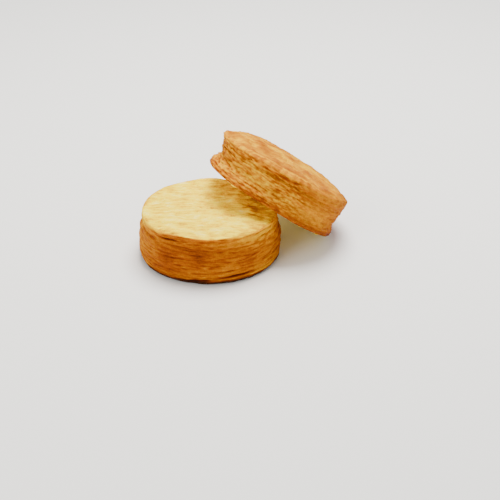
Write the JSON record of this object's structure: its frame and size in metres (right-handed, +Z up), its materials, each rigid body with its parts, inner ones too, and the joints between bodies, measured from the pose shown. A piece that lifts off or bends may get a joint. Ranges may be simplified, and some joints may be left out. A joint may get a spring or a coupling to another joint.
{
  "type": "buttermilk biscuit",
  "caption": "Tall round flaky biscuit split across the middle, bottom half lying cut face up with the top half leaning on its edge.",
  "frame": {"origin": "centre of the underside of the bottom half, on the surface it lies on", "axes": "+Z up, +X towards the side where the top half rests on the surface, +Y away from the front"},
  "size_m": [0.131, 0.1158, 0.0686],
  "materials": {
    "bottom_half": "dry baked crust and torn crumb",
    "top_half": "dry baked crust with a slight butter gloss on top"
  },
  "bodies": {
    "root": {"bottom_half": "bottom_half", "top_half": "top_half"}
  },
  "joints": []
}
